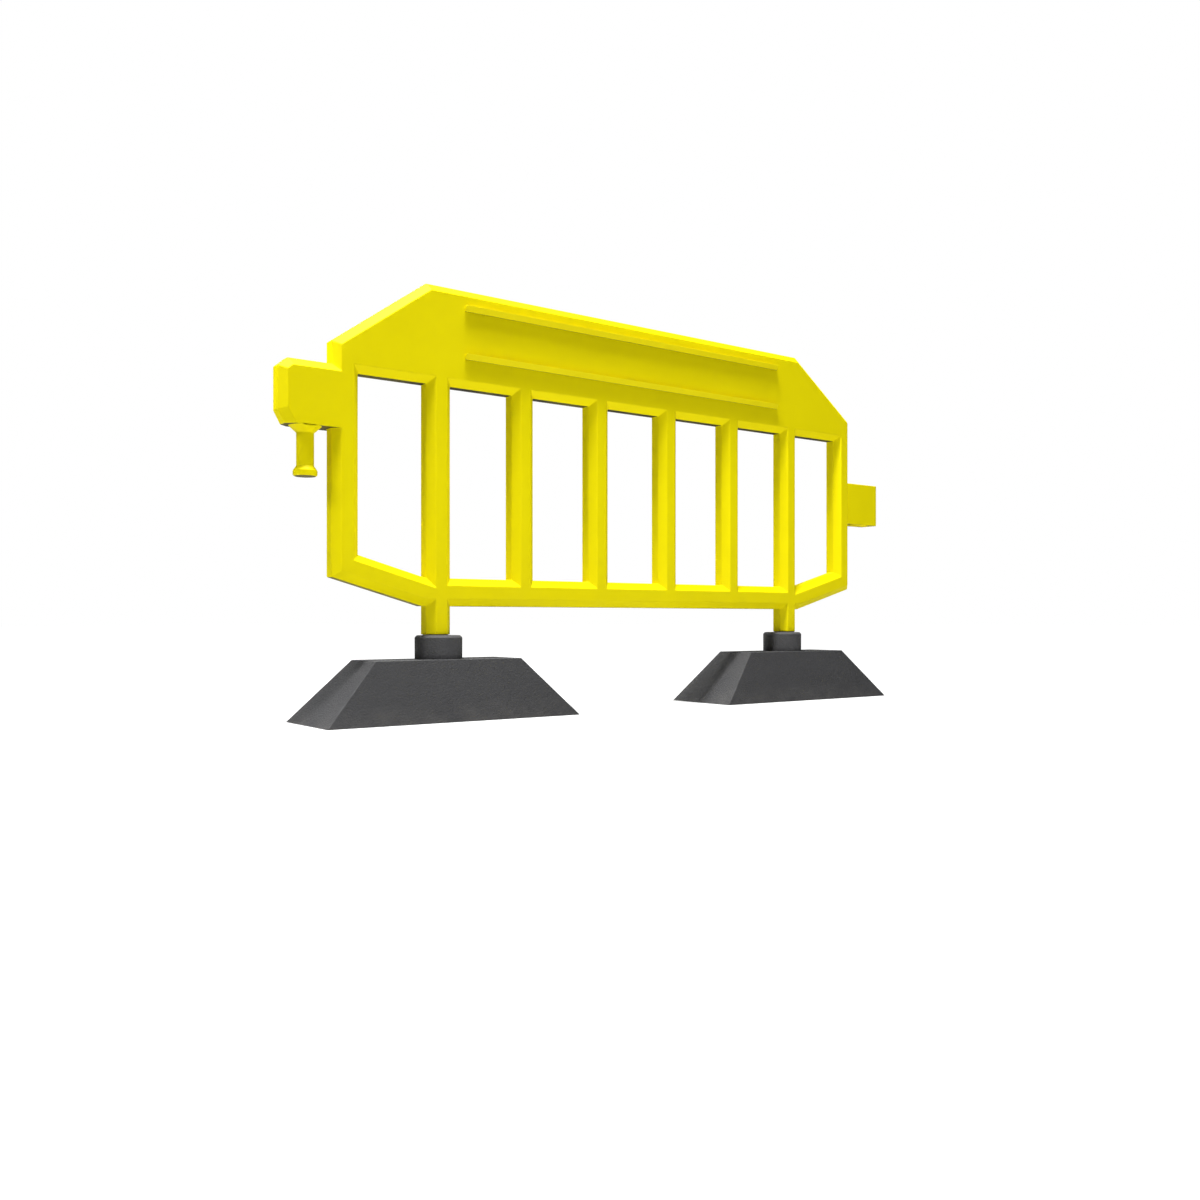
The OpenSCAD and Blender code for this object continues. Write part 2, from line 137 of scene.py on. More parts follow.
def makeEdgeWear():
    # where a rounded normal parts from the true one there is an edge
    group, source, sink = newGroup(
        "edgeWear",
        [("Reach", "Float", 0.004), ("Breakup", "Float", 60.0), ("Amount", "Float", 0.6)],
        [("Mask", "Float")])
    link = group.links.new
    rounded = addNode(group, "ShaderNodeBevel", -600, 200, samples=4)
    geometry = addNode(group, "ShaderNodeNewGeometry", -600, 0)
    dot = addNode(group, "ShaderNodeVectorMath", -380, 100, operation="DOT_PRODUCT")
    edge = addNode(group, "ShaderNodeMapRange", -150, 100,
                   {"From Min": 0.995, "From Max": 0.86, "To Min": 0.0, "To Max": 1.0})
    coord = addNode(group, "ShaderNodeTexCoord", -600, -250)
    chips = addNode(group, "ShaderNodeTexNoise", -380, -250, {"Detail": 4.0, "Roughness": 0.65})
    chipMask = addNode(group, "ShaderNodeMapRange", -150, -250, {"From Min": 0.42, "From Max": 0.62})
    both = addNode(group, "ShaderNodeMath", 150, 0, operation="MULTIPLY")
    scaled = addNode(group, "ShaderNodeMath", 400, 0, operation="MULTIPLY")
    link(source.outputs["Reach"], rounded.inputs["Radius"])
    link(rounded.outputs["Normal"], dot.inputs[0])
    link(geometry.outputs["Normal"], dot.inputs[1])
    link(dot.outputs["Value"], edge.inputs["Value"])
    link(coord.outputs["Object"], chips.inputs["Vector"])
    link(source.outputs["Breakup"], chips.inputs["Scale"])
    link(chips.outputs["Fac"], chipMask.inputs["Value"])
    link(edge.outputs["Result"], both.inputs[0])
    link(chipMask.outputs["Result"], both.inputs[1])
    link(both.outputs[0], scaled.inputs[0])
    link(source.outputs["Amount"], scaled.inputs[1])
    link(scaled.outputs[0], sink.inputs["Mask"])
    return group


def makeGroundDust():
    # road dust that thins out with height above the ground, and lies on ledges
    group, source, sink = newGroup(
        "groundDust",
        [("Top", "Float", 0.35), ("Size", "Float", 18.0), ("Amount", "Float", 0.5), ("Ledges", "Float", 0.4)],
        [("Mask", "Float")])
    link = group.links.new
    coord = addNode(group, "ShaderNodeTexCoord", -800, 0)
    parts = addNode(group, "ShaderNodeSeparateXYZ", -600, 150)
    low = addNode(group, "ShaderNodeMapRange", -350, 150, {"From Min": 0.0, "To Min": 1.0, "To Max": 0.0})
    specks = addNode(group, "ShaderNodeTexNoise", -600, -150, {"Detail": 6.0, "Roughness": 0.6})
    speckMask = addNode(group, "ShaderNodeMapRange", -350, -150, {"From Min": 0.38, "From Max": 0.68})
    geometry = addNode(group, "ShaderNodeNewGeometry", -800, -400)
    facing = addNode(group, "ShaderNodeSeparateXYZ", -600, -400)
    ledge = addNode(group, "ShaderNodeMapRange", -350, -400, {"From Min": 0.6, "From Max": 1.0})
    ledgeOut = addNode(group, "ShaderNodeMath", -100, -400, operation="MULTIPLY")
    height = addNode(group, "ShaderNodeMath", 0, 100, operation="MAXIMUM")
    both = addNode(group, "ShaderNodeMath", 200, 0, operation="MULTIPLY")
    scaled = addNode(group, "ShaderNodeMath", 450, 0, operation="MULTIPLY")
    link(coord.outputs["Object"], parts.inputs["Vector"])
    link(parts.outputs["Z"], low.inputs["Value"])
    link(source.outputs["Top"], low.inputs["From Max"])
    link(coord.outputs["Object"], specks.inputs["Vector"])
    link(source.outputs["Size"], specks.inputs["Scale"])
    link(specks.outputs["Fac"], speckMask.inputs["Value"])
    link(geometry.outputs["Normal"], facing.inputs["Vector"])
    link(facing.outputs["Z"], ledge.inputs["Value"])
    link(ledge.outputs["Result"], ledgeOut.inputs[0])
    link(source.outputs["Ledges"], ledgeOut.inputs[1])
    link(low.outputs["Result"], height.inputs[0])
    link(ledgeOut.outputs[0], height.inputs[1])
    link(height.outputs[0], both.inputs[0])
    link(speckMask.outputs["Result"], both.inputs[1])
    link(both.outputs[0], scaled.inputs[0])
    link(source.outputs["Amount"], scaled.inputs[1])
    link(scaled.outputs[0], sink.inputs["Mask"])
    return group


def makeUndersidePaintedShade():
    # painted shade: a near-black tone on the faces that look straight down, standing in for the shade under
    # the barrier
    group, source, sink = newGroup(
        "undersidePaintedShade",
        [("Size", "Float", 6.0), ("Amount", "Float", 0.5)],
        [("Mask", "Float")])
    link = group.links.new
    coord = addNode(group, "ShaderNodeTexCoord", -800, 0)
    patches = addNode(group, "ShaderNodeTexNoise", -600, -150, {"Detail": 7.0, "Roughness": 0.62})
    patchMask = addNode(group, "ShaderNodeMapRange", -350, -150,
                        {"From Min": 0.25, "From Max": 0.55, "To Min": 0.82, "To Max": 1.0})
    geometry = addNode(group, "ShaderNodeNewGeometry", -800, -400)
    facing = addNode(group, "ShaderNodeSeparateXYZ", -600, -400)
    under = addNode(group, "ShaderNodeMapRange", -350, -400, {"From Min": -0.85, "From Max": -0.98})
    both = addNode(group, "ShaderNodeMath", 0, 0, operation="MULTIPLY")
    scaled = addNode(group, "ShaderNodeMath", 300, 0, operation="MULTIPLY")
    link(coord.outputs["Object"], patches.inputs["Vector"])
    link(source.outputs["Size"], patches.inputs["Scale"])
    link(patches.outputs["Fac"], patchMask.inputs["Value"])
    link(geometry.outputs["Normal"], facing.inputs["Vector"])
    link(facing.outputs["Z"], under.inputs["Value"])
    link(under.outputs["Result"], both.inputs[0])
    link(patchMask.outputs["Result"], both.inputs[1])
    link(both.outputs[0], scaled.inputs[0])
    link(source.outputs["Amount"], scaled.inputs[1])
    link(scaled.outputs[0], sink.inputs["Mask"])
    return group


def makeCrumbSpeckle():
    # pressed rubber crumb: grains of slightly different grey, with pits between them
    group, source, sink = newGroup(
        "crumbSpeckle",
        [("Crumb Size", "Float", 260.0), ("Fine Size", "Float", 900.0)],
        [("Mask", "Float"), ("Height", "Float")])
    link = group.links.new
    coord = addNode(group, "ShaderNodeTexCoord", -800, 0)
    crumbs = addNode(group, "ShaderNodeTexVoronoi", -500, 200, {"Randomness": 1.0}, feature="F1")
    tint = addNode(group, "ShaderNodeSeparateColor", -250, 300)
    fine = addNode(group, "ShaderNodeTexNoise", -500, -150, {"Detail": 4.0, "Roughness": 0.7})
    pit = addNode(group, "ShaderNodeMapRange", -250, 50,
                  {"From Min": 0.2, "From Max": 0.75, "To Min": 1.0, "To Max": 0.0})
    total = addNode(group, "ShaderNodeMath", 50, 0, operation="ADD")
    link(coord.outputs["Object"], crumbs.inputs["Vector"])
    link(source.outputs["Crumb Size"], crumbs.inputs["Scale"])
    link(coord.outputs["Object"], fine.inputs["Vector"])
    link(source.outputs["Fine Size"], fine.inputs["Scale"])
    link(crumbs.outputs["Color"], tint.inputs["Color"])
    link(crumbs.outputs["Distance"], pit.inputs["Value"])
    link(pit.outputs["Result"], total.inputs[0])
    link(fine.outputs["Fac"], total.inputs[1])
    link(tint.outputs["Red"], sink.inputs["Mask"])
    link(total.outputs[0], sink.inputs["Height"])
    return group


def makeTurnedRings():
    # lathe rings around an upright axis, and its twin on the other side of the panel
    group, source, sink = newGroup(
        "turnedRings",
        [("Centre", "Vector", (0.5, 0.0, 0.0)), ("Pitch", "Float", 700.0), ("Depth", "Float", 1.0)],
        [("Height", "Float")])
    link = group.links.new
    coord = addNode(group, "ShaderNodeTexCoord", -800, 0)
    fold = addNode(group, "ShaderNodeVectorMath", -700, 0, operation="ABSOLUTE")
    shift = addNode(group, "ShaderNodeVectorMath", -560, 0, operation="SUBTRACT")
    flat = addNode(group, "ShaderNodeVectorMath", -420, 0, operation="MULTIPLY")
    flat.inputs[1].default_value = (1.0, 1.0, 0.0)
    radius = addNode(group, "ShaderNodeVectorMath", -240, 0, operation="LENGTH")
    turns = addNode(group, "ShaderNodeMath", -60, 0, operation="MULTIPLY")
    wave = addNode(group, "ShaderNodeMath", 120, 0, operation="SINE")
    scaled = addNode(group, "ShaderNodeMath", 350, 0, operation="MULTIPLY")
    link(coord.outputs["Object"], fold.inputs[0])
    link(fold.outputs["Vector"], shift.inputs[0])
    link(source.outputs["Centre"], shift.inputs[1])
    link(shift.outputs["Vector"], flat.inputs[0])
    link(flat.outputs["Vector"], radius.inputs[0])
    link(radius.outputs["Value"], turns.inputs[0])
    link(source.outputs["Pitch"], turns.inputs[1])
    link(turns.outputs[0], wave.inputs[0])
    link(wave.outputs[0], scaled.inputs[0])
    link(source.outputs["Depth"], scaled.inputs[1])
    link(scaled.outputs[0], sink.inputs["Height"])
    return group


mouldedGrain = makeMouldedGrain()
toneDrift = makeToneDrift()
handlingScuffs = makeHandlingScuffs()
edgeWear = makeEdgeWear()
groundDust = makeGroundDust()
undersidePaintedShade = makeUndersidePaintedShade()
crumbSpeckle = makeCrumbSpeckle()
turnedRings = makeTurnedRings()
print("shared effects made")


# ---- finishes ----

def placeGroup(tree, group, x, y, values):
    node = tree.nodes.new("ShaderNodeGroup")
    node.node_tree = group
    node.location = (x, y)
    for name, value in values.items():
        node.inputs[name].default_value = value
    return node


def startMaterial(name):
    material = bpy.data.materials.new(name)
    material.use_nodes = True
    tree = material.node_tree
    tree.nodes.clear()
    output = addNode(tree, "ShaderNodeOutputMaterial", 1100, 0)
    shader = addNode(tree, "ShaderNodeBsdfPrincipled", 800, 0)
    tree.links.new(shader.outputs["BSDF"], output.inputs["Surface"])
    return material, tree, shader


def mixTint(tree, x, y, tint, factor, base):
    # lays a tint over what comes in, where the mask says
    mix = addNode(tree, "ShaderNodeMix", x, y, data_type="RGBA")
    mix.inputs["B"].default_value = tint
    tree.links.new(factor, mix.inputs["Factor"])
    tree.links.new(base, mix.inputs["A"])
    return mix.outputs["Result"]


def roughnessFrom(tree, x, y, value, low, high):
    spread = addNode(tree, "ShaderNodeMapRange", x, y,
                     {"From Min": 0.0, "From Max": 1.0, "To Min": low, "To Max": high})
    tree.links.new(value, spread.inputs["Value"])
    return spread.outputs["Result"]


def bumpFrom(tree, shader, x, y, height, strength, distance):
    bump = addNode(tree, "ShaderNodeBump", x, y, {"Strength": strength, "Distance": distance})
    tree.links.new(height, bump.inputs["Height"])
    tree.links.new(bump.outputs["Normal"], shader.inputs["Normal"])


def makeYellowPlastic(name, look):
    material, tree, shader = startMaterial(name)
    link = tree.links.new
    drift = placeGroup(tree, toneDrift, -600, 300,
                       {"Tone A": look["toneA"], "Tone B": look["toneB"], "Size": look["driftSize"],
                        "Low": 0.3, "High": 0.7})
    wear = placeGroup(tree, edgeWear, -600, 0, {"Reach": look["wearReach"], "Amount": look["wear"]})
    scuffs = placeGroup(tree, handlingScuffs, -600, -200, {"Amount": look["scuffs"]})
    dust = placeGroup(tree, groundDust, -600, -400,
                      {"Top": look["dustTop"], "Amount": look["dust"], "Ledges": look["ledges"]})
    grain = placeGroup(tree, mouldedGrain, -600, -650,
                       {"Grain Size": look["grainSize"], "Grain Depth": look["grainDepth"],
                        "Ripple Size": look["rippleSize"], "Ripple Depth": look["rippleDepth"]})
    worn = mixTint(tree, -200, 250, look["wornTone"], wear.outputs["Mask"], drift.outputs["Color"])
    scuffed = mixTint(tree, 50, 200, look["scuffTone"], scuffs.outputs["Mask"], worn)
    # painted shade: near-black laid on the faces that look straight down
    undersideShade = placeGroup(tree, undersidePaintedShade, -600, -900, {"Size": look["undersideShadeSize"], "Amount": look["undersideShade"]})
    dusty = mixTint(tree, 300, 150, look["dustTone"], dust.outputs["Mask"], scuffed)
    undersideShaded = mixTint(tree, 500, 100, look["undersideShadeTone"], undersideShade.outputs["Mask"], dusty)
    link(undersideShaded, shader.inputs["Base Color"])
    rough = roughnessFrom(tree, 100, -150, grain.outputs["Gloss Break"], look["roughLow"], look["roughHigh"])
    rougher = addNode(tree, "ShaderNodeMath", 350, -150, operation="MULTIPLY_ADD", use_clamp=True)
    rougher.inputs[1].default_value = look["scuffRough"]
    link(scuffs.outputs["Mask"], rougher.inputs[0])
    link(rough, rougher.inputs[2])
    link(rougher.outputs[0], shader.inputs["Roughness"])
    shader.inputs["Specular IOR Level"].default_value = look["specular"]
    shader.inputs["IOR"].default_value = 1.5
    bumpFrom(tree, shader, 400, -600, grain.outputs["Height"], look["bump"], look["bumpDepth"])
    return material


shellLook = {
    "toneA": (0.800, 0.690, 0.0010, 1.0),
    "toneB": (0.835, 0.722, 0.0012, 1.0),
    "driftSize": 2.4,
    "wornTone": (0.88, 0.79, 0.010, 1.0),
    "scuffTone": (0.66, 0.57, 0.010, 1.0),
    "dustTone": (0.50, 0.42, 0.030, 1.0),
    # painted shade tones for the faces that look straight down
    "undersideShadeTone": (0.022, 0.018, 0.004, 1.0), "undersideShade": 1.0, "undersideShadeSize": 5.0,
    "wear": 0.35, "wearReach": 0.0035,
    "scuffs": 0.35,
    "dust": 0.14, "dustTop": 0.45, "ledges": 0.20,
    "grainSize": 850.0, "grainDepth": 0.30, "rippleSize": 7.0, "rippleDepth": 1.0,
    "roughLow": 0.46, "roughHigh": 0.62, "scuffRough": 0.3, "specular": 0.05,
    "bump": 0.35, "bumpDepth": 0.0006,
}
linkLook = dict(shellLook, driftSize=6.0,
                toneA=(0.790, 0.680, 0.0010, 1.0), toneB=(0.825, 0.712, 0.0012, 1.0),
                roughLow=0.40, roughHigh=0.55, wear=0.5, grainSize=1100.0, grainDepth=0.18)
railLook = dict(shellLook, driftSize=4.0,
                toneA=(0.810, 0.700, 0.0010, 1.0), toneB=(0.840, 0.728, 0.0012, 1.0),
                roughLow=0.36, roughHigh=0.50, grainSize=1300.0, grainDepth=0.12, rippleDepth=0.6)


def makeFootRubber(name, look):
    material, tree, shader = startMaterial(name)
    link = tree.links.new
    crumb = placeGroup(tree, crumbSpeckle, -800, 200,
                       {"Crumb Size": look["crumbSize"], "Fine Size": look["fineSize"]})
    drift = placeGroup(tree, toneDrift, -800, -100,
                       {"Tone A": look["toneA"], "Tone B": look["toneB"], "Size": look["driftSize"],
                        "Low": 0.3, "High": 0.7})
    dust = placeGroup(tree, groundDust, -800, -400,
                      {"Top": look["dustTop"], "Amount": look["dust"], "Ledges": look["ledges"]})
    scuffs = placeGroup(tree, handlingScuffs, -800, -600, {"Amount": look["scuffs"]})
    wear = placeGroup(tree, edgeWear, -800, -800, {"Reach": look["wearReach"], "Amount": look["wear"]})
    crumbMask = roughnessFrom(tree, -550, 200, crumb.outputs["Mask"], 0.0, look["crumbTint"])
    speckled = mixTint(tree, -300, 100, look["crumbTone"], crumbMask, drift.outputs["Color"])
    worn = mixTint(tree, -100, 50, look["wornTone"], wear.outputs["Mask"], speckled)
    scuffed = mixTint(tree, 100, 0, look["scuffTone"], scuffs.outputs["Mask"], worn)
    dusty = mixTint(tree, 350, 0, look["dustTone"], dust.outputs["Mask"], scuffed)
    # painted light: a lighter tone on the collar, which the lamps reach least
    coord = addNode(tree, "ShaderNodeTexCoord", -800, -1000)
    parts = addNode(tree, "ShaderNodeSeparateXYZ", -600, -1000)
    collar = addNode(tree, "ShaderNodeMapRange", -400, -1000,
                     {"From Min": look["collarFoot"], "From Max": look["collarTop"], "To Max": look["collarPaintedLight"]})
    link(coord.outputs["Object"], parts.inputs["Vector"])
    link(parts.outputs["Z"], collar.inputs["Value"])
    collarLightened = mixTint(tree, 550, 0, look["collarPaintedLightTone"], collar.outputs["Result"], dusty)
    link(collarLightened, shader.inputs["Base Color"])
    rough = roughnessFrom(tree, 100, -250, crumb.outputs["Mask"], look["roughLow"], look["roughHigh"])
    link(rough, shader.inputs["Roughness"])
    shader.inputs["Specular IOR Level"].default_value = look["specular"]
    bumpFrom(tree, shader, 400, -500, crumb.outputs["Height"], look["bump"], look["bumpDepth"])
    return material


rubberLook = {
    "toneA": (0.024, 0.024, 0.0255, 1.0),
    "toneB": (0.030, 0.030, 0.0317, 1.0),
    "driftSize": 5.0,
    "crumbTone": (0.050, 0.050, 0.053, 1.0), "crumbTint": 0.35,
    "crumbSize": 230.0, "fineSize": 800.0,
    "wornTone": (0.12, 0.12, 0.125, 1.0), "wear": 0.4, "wearReach": 0.004,
    "scuffTone": (0.12, 0.118, 0.115, 1.0), "scuffs": 0.35,
    "dustTone": (0.17, 0.16, 0.145, 1.0), "dust": 0.16, "dustTop": 0.05, "ledges": 0.4,
    # painted light: lighter tone laid on the collar band
    "collarFoot": 0.1378, "collarTop": 0.1500, "collarPaintedLight": 0.55, "collarPaintedLightTone": (0.085, 0.085, 0.088, 1.0),
    "roughLow": 0.66, "roughHigh": 0.85, "specular": 0.3,
    "bump": 0.45, "bumpDepth": 0.0008,
}


def makeBearingPlastic(name, look):
    material, tree, shader = startMaterial(name)
    drift = placeGroup(tree, toneDrift, -600, 200,
                       {"Tone A": look["toneA"], "Tone B": look["toneB"], "Size": look["driftSize"]})
    grain = placeGroup(tree, mouldedGrain, -600, -200,
                       {"Grain Size": look["grainSize"], "Grain Depth": look["grainDepth"],
                        "Ripple Size": look["rippleSize"], "Ripple Depth": look["rippleDepth"]})
    scuffs = placeGroup(tree, handlingScuffs, -600, -500,
                        {"Size": look["scoreSize"], "Stretch": (1.0, 1.0, 0.08), "Amount": look["scores"]})
    scored = mixTint(tree, 0, 200, look["scoreTone"], scuffs.outputs["Mask"], drift.outputs["Color"])
    tree.links.new(scored, shader.inputs["Base Color"])
    rough = roughnessFrom(tree, 0, -150, grain.outputs["Gloss Break"], look["roughLow"], look["roughHigh"])
    tree.links.new(rough, shader.inputs["Roughness"])
    bumpFrom(tree, shader, 300, -400, grain.outputs["Height"], look["bump"], look["bumpDepth"])
    return material


bearingLook = {
    "toneA": (0.68, 0.66, 0.58, 1.0), "toneB": (0.74, 0.72, 0.65, 1.0), "driftSize": 20.0,
    "scoreTone": (0.45, 0.43, 0.38, 1.0), "scoreSize": 90.0, "scores": 0.6,
    "grainSize": 1800.0, "grainDepth": 0.2, "rippleSize": 60.0, "rippleDepth": 0.4,
    "roughLow": 0.32, "roughHigh": 0.5,
    "bump": 0.25, "bumpDepth": 0.0003,
}


def makeSteel(name, look):
    material, tree, shader = startMaterial(name)
    link = tree.links.new
    spangle = addNode(tree, "ShaderNodeTexVoronoi", -700, 250, {"Scale": look["spangleSize"]}, feature="F1")
    coord = addNode(tree, "ShaderNodeTexCoord", -900, 0)
    tint = addNode(tree, "ShaderNodeSeparateColor", -480, 250)
    flake = addNode(tree, "ShaderNodeMix", -250, 250, data_type="RGBA")
    flake.inputs["A"].default_value = look["toneA"]
    flake.inputs["B"].default_value = look["toneB"]
    grime = placeGroup(tree, toneDrift, -700, -150,
                       {"Tone A": look["grimeTone"], "Tone B": look["grimeTone"], "Size": look["grimeSize"],
                        "Low": look["grimeLow"], "High": look["grimeHigh"]})
    rings = placeGroup(tree, turnedRings, -700, -450,
                       {"Centre": look["centre"], "Pitch": look["ringPitch"], "Depth": look["ringDepth"]})
    link(coord.outputs["Object"], spangle.inputs["Vector"])
    link(spangle.outputs["Color"], tint.inputs["Color"])
    link(tint.outputs["Green"], flake.inputs["Factor"])
    grimy = mixTint(tree, 100, 200, look["grimeTone"], grime.outputs["Mask"], flake.outputs["Result"])
    link(grimy, shader.inputs["Base Color"])
    metal = roughnessFrom(tree, 100, 0, grime.outputs["Mask"], 1.0, 0.55)
    link(metal, shader.inputs["Metallic"])
    rough = roughnessFrom(tree, 100, -200, tint.outputs["Blue"], look["roughLow"], look["roughHigh"])
    link(rough, shader.inputs["Roughness"])
    bumpFrom(tree, shader, 400, -450, rings.outputs["Height"], look["bump"], look["bumpDepth"])
    return material


galvanisedLook = {
    "toneA": (0.50, 0.51, 0.53, 1.0), "toneB": (0.66, 0.67, 0.69, 1.0), "spangleSize": 120.0,
    "grimeTone": (0.22, 0.20, 0.18, 1.0), "grimeSize": 14.0, "grimeLow": 0.52, "grimeHigh": 0.78,
    "centre": (0.575, 0.0, 0.0), "ringPitch": 2400.0, "ringDepth": 0.15,
    "roughLow": 0.34, "roughHigh": 0.52, "bump": 0.2, "bumpDepth": 0.0002,
}
screwLook = dict(galvanisedLook, spangleSize=900.0,
                 toneA=(0.60, 0.56, 0.42, 1.0), toneB=(0.70, 0.66, 0.52, 1.0),
                 ringPitch=6000.0, ringDepth=0.3, roughLow=0.26, roughHigh=0.38, grimeHigh=0.9)
plugLook = dict(galvanisedLook, spangleSize=1600.0,
                toneA=(0.30, 0.30, 0.31, 1.0), toneB=(0.36, 0.36, 0.37, 1.0),
                ringPitch=5200.0, ringDepth=0.8, roughLow=0.30, roughHigh=0.42)

finishes = {
    "shell_plastic": makeYellowPlastic("shellPlastic", shellLook),
    "link_plastic": makeYellowPlastic("linkPlastic", linkLook),
    "rail_plastic": makeYellowPlastic("railPlastic", railLook),
    "foot_rubber": makeFootRubber("footRubber", rubberLook),
    "bearing_plastic": makeBearingPlastic("bearingPlastic", bearingLook),
    "galvanised_steel": makeSteel("galvanisedSteel", galvanisedLook),
    "screw_steel": makeSteel("screwSteel", screwLook),
    "plug_steel": makeSteel("plugSteel", plugLook),
}
for piece in nodes.values():
    for materialSlot in piece.material_slots:
        slotName = materialSlot.material.name.split(".")[0]
        materialSlot.material = finishes[slotName]
print("finishes placed:", len(finishes))


# ---- rounded edges on the real pieces ----
# Every edge that can be seen from outside gets a radius; hidden ribs and seats stay sharp.

edgeRounds = {
    "front_shell": 0.0016, "rear_shell": 0.0016,
    "link_pin": 0.0012, "link_socket": 0.0016,
    "upper_front_sign_rail": 0.0007, "lower_front_sign_rail": 0.0007,
    "upper_rear_sign_rail": 0.0007, "lower_rear_sign_rail": 0.0007,
    "left_foot_block": 0.0013, "right_foot_block": 0.0013,
}
edgeRules = {
    "foldAngle": math.radians(24.0),
    "lift": 0.0003,
    "segments": 3,
    "weld": 0.00001,
    "dissolve": math.radians(0.5),
    "seamReach": 0.00002,
    "keySteps": 20000,
    "sideLean": 2.2,
    "slightLean": 1.1,
    "shortLean": 0.05,
    "flatWeight": 90,
}


def buildSurroundings():
    corners = []
    faces = []
    for piece in nodes.values():
        start = len(corners)
        corners.extend(v.co.copy() for v in piece.data.vertices)
        faces.extend([start + i for i in f.vertices] for f in piece.data.polygons)
    return BVHTree.FromPolygons(corners, faces)


def edgeKey(mesh, edge):
    ends = sorted(tuple(round(c * edgeRules["keySteps"]) for c in mesh.vertices[i].co) for i in edge)
    return ends[0] + ends[1]


def seesOutside(surroundings, spot, outward):
    side = Vector((0.0, edgeRules["sideLean"], 0.0))
    up = Vector((0.0, 0.0, edgeRules["slightLean"]))
    along = Vector((edgeRules["slightLean"], 0.0, 0.0))
    for lean in (outward, outward + side, outward - side, outward + up, outward - up,
                 outward + along, outward - along):
        if lean.length < edgeRules["shortLean"]:
            continue
        if surroundings.ray_cast(spot, lean.normalized())[0] is None:
            return True
    return False


def roundEdges(piece, radius, surroundings):
    mesh = piece.data
    keyNormals = {}
    for face in mesh.polygons:
        for edge in face.edge_keys:
            keyNormals.setdefault(edgeKey(mesh, edge), []).append(face.normal.copy())
    marks = {}
    for edge in mesh.edges:
        key = edgeKey(mesh, edge.vertices)
        if key in marks:
            continue
        normals = keyNormals.get(key, [])
        marks[key] = "flat"
        if len(normals) != 2 or normals[0].angle(normals[1], 0.0) < edgeRules["foldAngle"]:
            continue
        marks[key] = "sharp"
        a, b = (mesh.vertices[i].co for i in edge.vertices)
        isPanel = piece.name in ("front_shell", "rear_shell")
        if isPanel and max(abs(a.y), abs(b.y)) < edgeRules["seamReach"]:
            continue  # the seam closes flush on the other half
        outward = (normals[0] + normals[1]).normalized()
        if seesOutside(surroundings, (a + b) / 2 + outward * edgeRules["lift"], outward):
            marks[key] = "round"
    weights = mesh.attributes.new("bevel_weight_edge", "FLOAT", "EDGE")
    sharp = mesh.attributes.get("sharp_edge") or mesh.attributes.new("sharp_edge", "BOOLEAN", "EDGE")
    for edge in mesh.edges:
        mark = marks[edgeKey(mesh, edge.vertices)]
        weights.data[edge.index].value = 1.0 if mark == "round" else 0.0
        sharp.data[edge.index].value = mark == "sharp"
    weld = piece.modifiers.new("closeFaces", "WELD")
    weld.merge_threshold = edgeRules["weld"]
    flatten = piece.modifiers.new("joinFlats", "DECIMATE")
    flatten.decimate_type = "DISSOLVE"
    flatten.angle_limit = edgeRules["dissolve"]
    flatten.delimit = {"SHARP"}
    bevel = piece.modifiers.new("roundEdges", "BEVEL")
    bevel.limit_method = "WEIGHT"
    bevel.width = radius
    bevel.segments = edgeRules["segments"]
    bevel.use_clamp_overlap = False
    bevel.miter_outer = "MITER_SHARP"
    smooth = piece.modifiers.new("evenShading", "WEIGHTED_NORMAL")
    smooth.keep_sharp = True
    smooth.weight = edgeRules["flatWeight"]
    counts = {}
    for mark in marks.values():
        counts[mark] = counts.get(mark, 0) + 1
    return counts


surroundings = buildSurroundings()
for pieceName, radius in edgeRounds.items():
    print("rounded", pieceName, roundEdges(nodes[pieceName], radius, surroundings))


# ---- stage, light and camera ----

stageLook = {
    "size": 80.0,
    "seenTone": (0.24, 0.24, 0.24, 1.0),
    "bounceTone": (0.36, 0.36, 0.36, 1.0),
    "glowNear": 0.80,
    "glowFar": 1.0,
    "glowReach": (1.6, 5.0),
    "skySeen": (1.0, 1.0, 1.0, 1.0),
    "skyLight": (0.10, 0.10, 0.10, 1.0),
}


def makeFloor():
    half = stageLook["size"] / 2
    mesh = bpy.data.meshes.new("studioFloor")
    corners = [(-half, -half, 0), (half, -half, 0), (half, half, 0), (-half, half, 0)]
    mesh.from_pydata(corners, [], [(0, 1, 2, 3)])
    floor = bpy.data.objects.new("studioFloor", mesh)
    scene.collection.objects.link(floor)
    material, tree, shader = startMaterial("paleFloor")
    path = addNode(tree, "ShaderNodeLightPath", -400, 300)
    tone = addNode(tree, "ShaderNodeMix", 200, 200, data_type="RGBA")
    tone.inputs["A"].default_value = stageLook["bounceTone"]
    tone.inputs["B"].default_value = stageLook["seenTone"]
    coord = addNode(tree, "ShaderNodeTexCoord", -600, -100)
    reach = addNode(tree, "ShaderNodeVectorMath", -400, -100, operation="LENGTH")
    near, far = stageLook["glowReach"]
    glow = addNode(tree, "ShaderNodeMapRange", -200, -100,
                   {"From Min": near, "From Max": far,
                    "To Min": stageLook["glowNear"], "To Max": stageLook["glowFar"]})
    seenGlow = addNode(tree, "ShaderNodeMath", 100, -100, operation="MULTIPLY")
    tree.links.new(coord.outputs["Object"], reach.inputs[0])
    tree.links.new(reach.outputs["Value"], glow.inputs["Value"])
    tree.links.new(glow.outputs["Result"], seenGlow.inputs[0])
    tree.links.new(path.outputs["Is Camera Ray"], seenGlow.inputs[1])
    tree.links.new(seenGlow.outputs[0], shader.inputs["Emission Color"])
    shader.inputs["Emission Strength"].default_value = 1.0
    tree.links.new(path.outputs["Is Camera Ray"], tone.inputs["Factor"])
    tree.links.new(tone.outputs["Result"], shader.inputs["Base Color"])
    shader.inputs["Roughness"].default_value = 0.9
    shader.inputs["Specular IOR Level"].default_value = 0.0
    mesh.materials.append(material)
    return floor


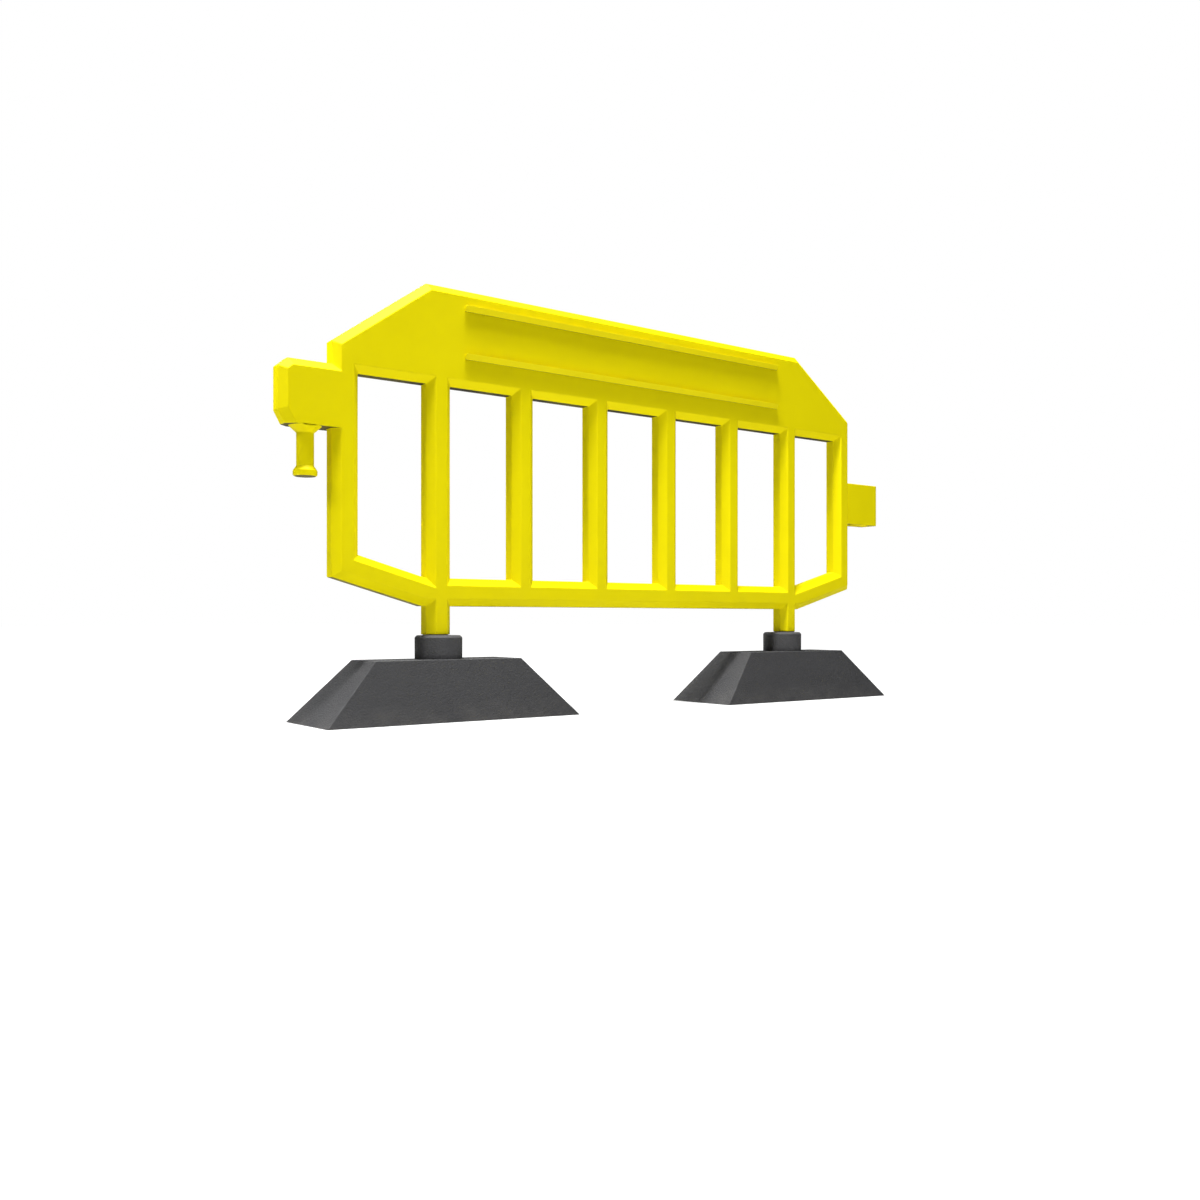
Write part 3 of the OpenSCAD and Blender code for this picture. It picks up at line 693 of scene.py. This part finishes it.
def makeSky():
    world = bpy.data.worlds.new("studioSky")
    scene.world = world
    world.use_nodes = True
    tree = world.node_tree
    tree.nodes.clear()
    output = addNode(tree, "ShaderNodeOutputWorld", 400, 0)
    background = addNode(tree, "ShaderNodeBackground", 200, 0)
    path = addNode(tree, "ShaderNodeLightPath", -400, 0)
    tone = addNode(tree, "ShaderNodeMix", 0, 0, data_type="RGBA")
    tone.inputs["A"].default_value = stageLook["skyLight"]
    tone.inputs["B"].default_value = stageLook["skySeen"]
    tree.links.new(path.outputs["Is Camera Ray"], tone.inputs["Factor"])
    tree.links.new(tone.outputs["Result"], background.inputs["Color"])
    tree.links.new(background.outputs["Background"], output.inputs["Surface"])


panelMiddle = (0.0, 0.0, 0.6)
lampLooks = {
    "topSoftbox": {"place": (-0.292, -0.506, 4.76), "aim": panelMiddle, "size": (0.8, 0.8), "power": 335.0},
    "leftSoftbox": {"place": (-1.775, 0.0, 4.41), "aim": panelMiddle, "size": (1.0, 1.0), "power": 296.0},
    "sideSoftbox": {"place": (-3.64, 0.0, 2.70), "aim": panelMiddle, "size": (1.0, 1.0), "power": 48.0},
    "rearSoftbox": {"place": (0.6, 3.64, 2.70), "aim": panelMiddle, "size": (1.6, 1.6), "power": 72.0},
    "floorCard": {"place": (0.0, -0.9, 0.02), "aim": (0.0, -0.9, 1.0), "size": (2.6, 0.6), "power": 10.0},
}


def makeLamp(name, look):
    data = bpy.data.lights.new(name, "AREA")
    data.shape = "RECTANGLE"
    data.size, data.size_y = look["size"]
    data.energy = look["power"]
    lamp = bpy.data.objects.new(name, data)
    lamp.location = look["place"]
    aim = Vector(look["aim"]) - Vector(look["place"])
    lamp.rotation_euler = aim.to_track_quat("-Z", "Y").to_euler()
    lamp.visible_camera = False
    scene.collection.objects.link(lamp)
    return lamp


cameraLook = {
    "place": (-1.8162, -2.3014, 0.2281),
    "turn": 36.73,
    "lens": 33.468,
    "sensor": 36.0,
    "shiftY": 0.01673,
    "clipEnd": 200.0,
}


def makeCamera():
    data = bpy.data.cameras.new("viewCamera")
    data.lens = cameraLook["lens"]
    data.sensor_width = cameraLook["sensor"]
    data.shift_y = cameraLook["shiftY"]
    data.clip_end = cameraLook["clipEnd"]
    camera = bpy.data.objects.new("viewCamera", data)
    camera.location = cameraLook["place"]
    camera.rotation_euler = (math.radians(90.0), 0.0, -math.radians(cameraLook["turn"]))
    scene.collection.objects.link(camera)
    scene.camera = camera


makeFloor()
makeSky()
for lampName, lampLook in lampLooks.items():
    makeLamp(lampName, lampLook)
makeCamera()
scene.view_settings.view_transform = "Standard"
scene.view_settings.look = "None"
print("stage, lamps and camera made")
